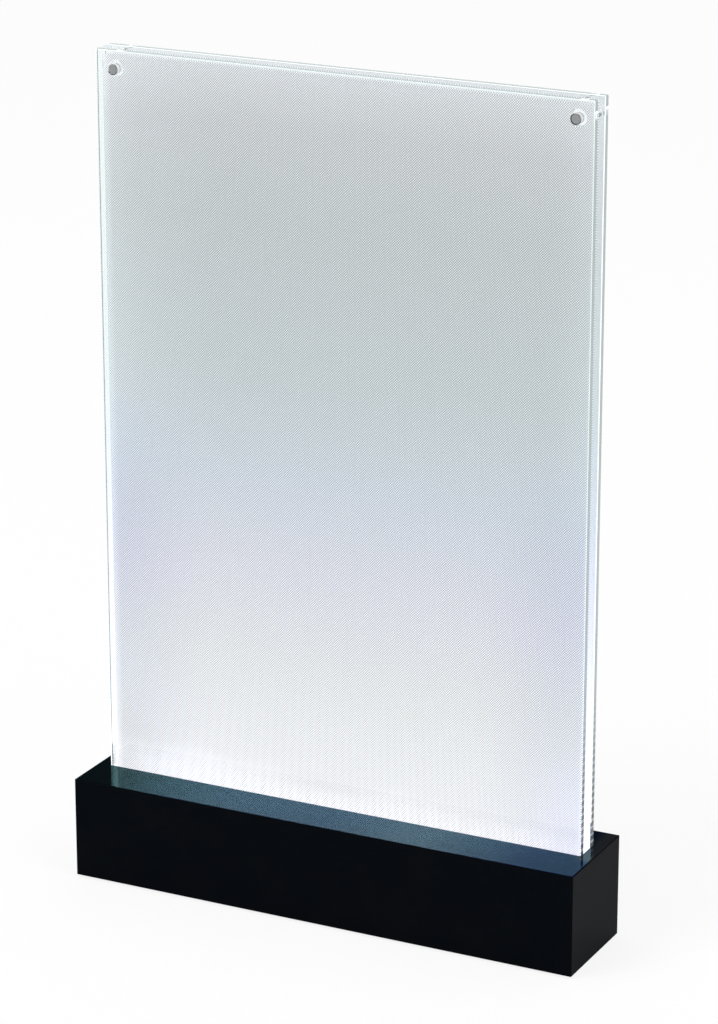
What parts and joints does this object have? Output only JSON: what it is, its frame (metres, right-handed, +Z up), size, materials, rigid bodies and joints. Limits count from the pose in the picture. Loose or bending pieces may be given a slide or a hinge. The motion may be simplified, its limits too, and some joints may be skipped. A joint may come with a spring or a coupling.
{
  "type": "led poster display",
  "caption": "Table-top lit poster stand: an edge-lit light guide between clear lift-out covers with corner magnets, plugged into a black box base with rear rocker switch and charging socket.",
  "frame": {"origin": "on the table under the middle of the base's footprint", "axes": "+Z up the panels, +X to the right seen from the front, +Y to the back with the controls"},
  "size_m": [0.221, 0.046, 0.341],
  "materials": {
    "gloss_black": "moulded gloss black",
    "matte_black": "fine grain black",
    "foot_rubber": "matt rubber",
    "screw_steel": "zinc plated",
    "white_plastic": "reflecting white moulding",
    "strip_metal": "white coated metal board",
    "chip": "phosphor coated light chip",
    "lit_guide": "acrylic with a fine printed dot lattice, lit from its foot",
    "clear_acrylic": "clear polished acrylic",
    "nickel": "nickel plated disc",
    "board_green": "solder mask",
    "part_black": "moulded packages",
    "plug_ivory": "nylon",
    "socket_metal": "nickel plated shell",
    "clear_pipe": "clear moulded pin",
    "blade_brass": "tinned brass",
    "pack_blue": "shrink film",
    "pad_foam": "adhesive foam",
    "lead_red": "insulated lead",
    "lead_black": "insulated lead",
    "lead_white": "insulated lead",
    "weight_steel": "sawn bar"
  },
  "bodies": {
    "base": {"base_housing": "gloss_black", "bottom_cover": "matte_black", "cover_screws": "screw_steel", "rubber_feet": "foot_rubber", "panel_cradle": "white_plastic", "cradle_screws": "screw_steel", "light_strip_board": "strip_metal", "light_chips": "chip", "light_guide": "lit_guide", "guide_magnets": "nickel", "control_board": "board_green", "board_parts": "part_black", "board_connectors": "plug_ivory", "board_screws": "screw_steel", "socket_shell": "socket_metal", "socket_core": "part_black", "charge_light_pipe": "clear_pipe", "switch_body": "matte_black", "switch_terminals": "blade_brass", "battery_pack": "pack_blue", "battery_pads": "pad_foam", "battery_leads": "lead_red", "switch_leads": "lead_black", "strip_leads": "lead_white", "steel_weight": "weight_steel", "weight_screws": "screw_steel"},
    "front_cover": {"front_cover": "clear_acrylic", "front_magnets": "nickel"},
    "rear_cover": {"rear_cover": "clear_acrylic", "rear_magnets": "nickel"},
    "rocker": {"switch_rocker": "matte_black"}
  },
  "joints": [
    {"name": "front_cover_lift", "type": "slide", "parent": "base", "child": "front_cover", "axis": [0, 0, 1], "range_m": [0, 0.02]},
    {"name": "rear_cover_lift", "type": "slide", "parent": "base", "child": "rear_cover", "axis": [0, 0, 1], "range_m": [0, 0.02]},
    {"name": "power_switch", "type": "hinge", "parent": "base", "child": "rocker", "pos_m": [0.014, 0.0184, 0.0126], "axis": [0, 0, -1], "range_deg": [0, 20]}
  ]
}
